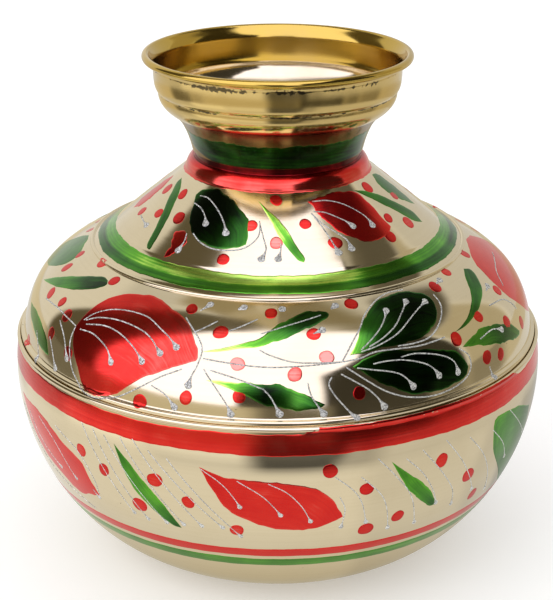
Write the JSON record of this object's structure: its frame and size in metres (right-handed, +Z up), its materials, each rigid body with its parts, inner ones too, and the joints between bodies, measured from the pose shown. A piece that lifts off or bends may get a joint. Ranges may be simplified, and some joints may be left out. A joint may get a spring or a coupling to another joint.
{
  "type": "water pot",
  "caption": "Round-bellied brass water pot, its spun halves lapped at the belly, with a stepped shoulder cone and a funnel neck that ends in a rolled lip.",
  "frame": {"origin": "middle of the flat base, on the surface the pot stands on", "axes": "+Z up, along the pot's axis; the pot is round about it"},
  "size_m": [0.2514, 0.2514, 0.2398],
  "materials": {
    "body_brass": "polished spun brass with painted lacquer ornament",
    "neck_brass": "polished spun brass, yellower",
    "iron_wire": "plain drawn wire",
    "braze": "rough braze fillet"
  },
  "bodies": {
    "root": {"lower_bowl": "body_brass", "upper_shell": "body_brass", "neck": "neck_brass", "lip_wire": "iron_wire", "belly_seam_braze": "braze", "neck_seam_braze": "braze"}
  },
  "joints": []
}
